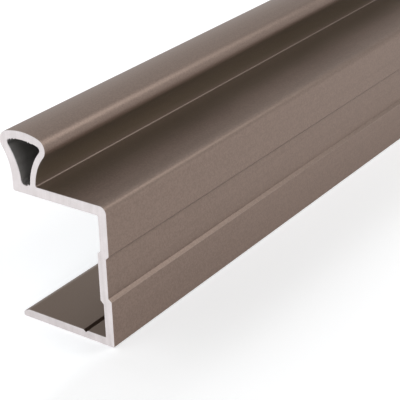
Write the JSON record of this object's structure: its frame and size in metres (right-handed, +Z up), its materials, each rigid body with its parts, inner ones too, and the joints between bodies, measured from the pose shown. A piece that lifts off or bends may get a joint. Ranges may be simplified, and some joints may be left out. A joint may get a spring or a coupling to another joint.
{
  "type": "aluminium extrusion profile",
  "caption": "Straight length of bronze anodised aluminium extrusion: a channel that caps the edge of a board, with a hollow grip rib on its shelf.",
  "frame": {"origin": "centre of the length and depth of the profile, on the floor under its base", "axes": "+X along the length, +Y out of the channel's mouth, away from the show face of the web, +Z up from the base to the grip rib"},
  "size_m": [1, 0.0174, 0.0283],
  "materials": {
    "bronze_anodised_aluminium": "satin bronze anodised, with bare metal at the two sawn ends"
  },
  "bodies": {
    "root": {"handle_profile": "bronze_anodised_aluminium"}
  },
  "joints": []
}
